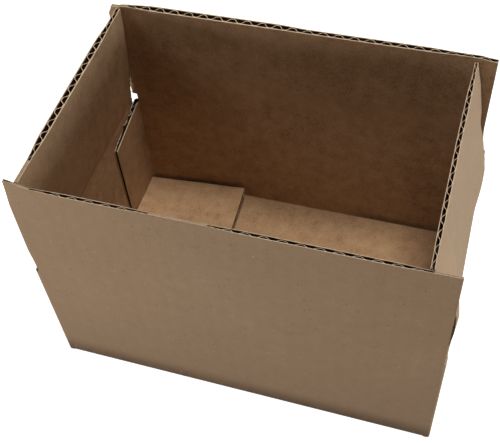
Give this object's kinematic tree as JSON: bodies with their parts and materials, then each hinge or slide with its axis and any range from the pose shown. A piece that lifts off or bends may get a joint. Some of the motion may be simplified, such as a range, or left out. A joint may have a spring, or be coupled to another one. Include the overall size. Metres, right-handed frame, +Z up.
{
  "type": "corrugated shipping box",
  "caption": "Open-topped kraft corrugated box with standing top flaps, a glued inner tab and a folded-shut bottom, for packing and shipping small goods.",
  "frame": {"origin": "centre of the underside, on the surface that the box stands on", "axes": "+X along the box's length to the right, +Y to the back, +Z up out of the open top"},
  "size_m": [0.183, 0.119, 0.1288],
  "materials": {
    "kraft_board": "matt uncoated kraft liner, with lighter cut edges"
  },
  "bodies": {
    "box": {"box_body": "kraft_board"},
    "front_flap": {"front_flap": "kraft_board"},
    "back_flap": {"back_flap": "kraft_board"},
    "left_flap": {"left_flap": "kraft_board"},
    "right_flap": {"right_flap": "kraft_board"}
  },
  "joints": [
    {"name": "front_flap_crease", "type": "hinge", "parent": "box", "child": "front_flap", "pos_m": [0, -0.0595, 0.0706], "axis": [1, 0, 0], "range_deg": [0, 160]},
    {"name": "back_flap_crease", "type": "hinge", "parent": "box", "child": "back_flap", "pos_m": [0, 0.0595, 0.0706], "axis": [-1, 0, 0], "range_deg": [0, 160]},
    {"name": "left_flap_crease", "type": "hinge", "parent": "box", "child": "left_flap", "pos_m": [-0.0915, 0, 0.0678], "axis": [0, -1, 0], "range_deg": [-85.7, 160]},
    {"name": "right_flap_crease", "type": "hinge", "parent": "box", "child": "right_flap", "pos_m": [0.0915, 0, 0.0678], "axis": [0, 1, 0], "range_deg": [-79.7, 160]}
  ]
}
